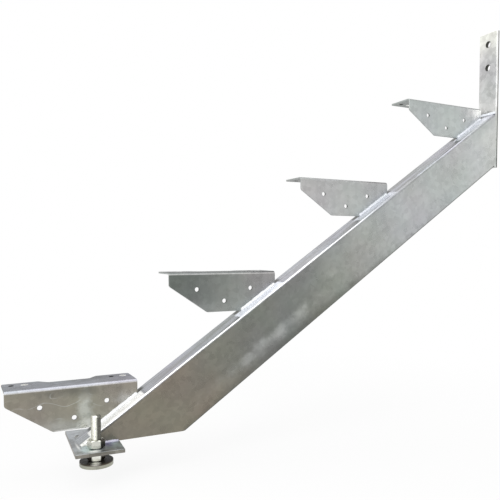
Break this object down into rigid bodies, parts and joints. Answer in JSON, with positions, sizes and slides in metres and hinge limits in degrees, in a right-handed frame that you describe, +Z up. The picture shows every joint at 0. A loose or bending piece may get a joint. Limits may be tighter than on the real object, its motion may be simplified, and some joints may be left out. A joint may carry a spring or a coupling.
{
  "type": "stair stringer",
  "caption": "Sloping galvanised steel hollow-section stair stringer with folded tread brackets welded along it, an upright top plate for bolts and a screw-adjusted levelling foot.",
  "frame": {"origin": "middle of the levelling foot's underside, with the foot wound right in", "axes": "+X up the run of the stair, +Y to the side that the tread seats reach out to, +Z up"},
  "size_m": [1.027, 0.1436, 0.83],
  "materials": {
    "tube": "hot-dip galvanised, dull grey with soft gloss",
    "brackets": "hot-dip galvanised sheet, grey with faint streaks",
    "plates": "hot-dip galvanised flat bar",
    "fasteners": "galvanised thread and hexagon",
    "foot": "dark galvanised disc with a bright rim"
  },
  "bodies": {
    "stringer": {"stringer_tube": "tube", "tread_bracket_1": "brackets", "tread_bracket_2": "brackets", "tread_bracket_3": "brackets", "tread_bracket_4": "brackets", "top_fixing_plate": "plates", "foot_plate": "plates"},
    "lower_nut": {"lower_nut": "fasteners"},
    "upper_nut": {"upper_nut": "fasteners"},
    "levelling_foot": {"levelling_stud": "fasteners", "foot_disc": "foot"}
  },
  "joints": [
    {"name": "lower_nut_turn", "type": "hinge", "parent": "stringer", "child": "lower_nut", "pos_m": [0, 0, 0.0148], "axis": [0, 0, 1], "range_deg": [0, 5400]},
    {"name": "upper_nut_turn", "type": "hinge", "parent": "stringer", "child": "upper_nut", "pos_m": [0, 0, 0.0344], "axis": [0, 0, 1], "range_deg": [0, 5400]},
    {"name": "foot_height", "type": "slide", "parent": "stringer", "child": "levelling_foot", "axis": [0, 0, -1], "range_m": [0, 0.03]}
  ],
  "couplings": [
    {"joint": "lower_nut_turn", "follows": "foot_height", "rad_per_m": 3141.6},
    {"joint": "upper_nut_turn", "follows": "foot_height", "rad_per_m": 3141.6}
  ]
}
